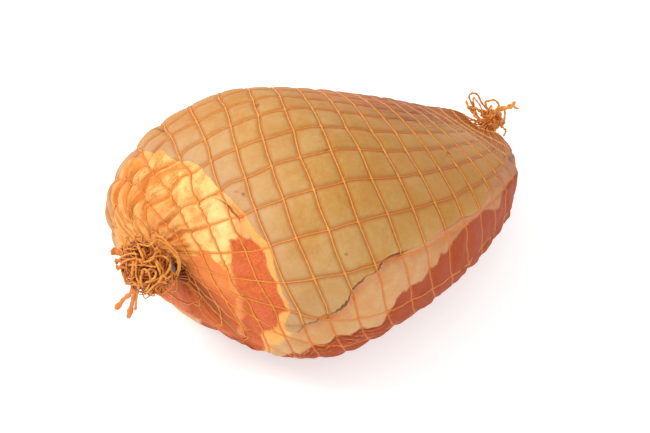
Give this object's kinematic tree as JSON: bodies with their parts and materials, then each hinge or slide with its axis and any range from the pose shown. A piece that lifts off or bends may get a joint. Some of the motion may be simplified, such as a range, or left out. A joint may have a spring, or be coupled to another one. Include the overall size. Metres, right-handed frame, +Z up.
{
  "type": "smoked ham",
  "caption": "Boned whole smoked ham, rounded at the cut end and tapering to the shank, sunk into elastic netting that is gathered into a clipped knot and a tuft.",
  "frame": {"origin": "centre of the whole part's box at table height, under the middle of ham, knot and tuft", "axes": "+X from the cut end with the knot to the shank end with the tuft, +Z up, +Y to the side away from the bare meat"},
  "size_m": [0.3988, 0.2238, 0.1584],
  "materials": {
    "rind": "satin, slightly greasy smoked skin, fat and meat",
    "netting": "matt smoke-stained elastic thread",
    "clip": "dull wire clip"
  },
  "bodies": {
    "root": {"ham": "rind", "net": "netting", "front_bunch": "netting", "back_tuft": "netting", "clip": "clip"}
  },
  "joints": []
}
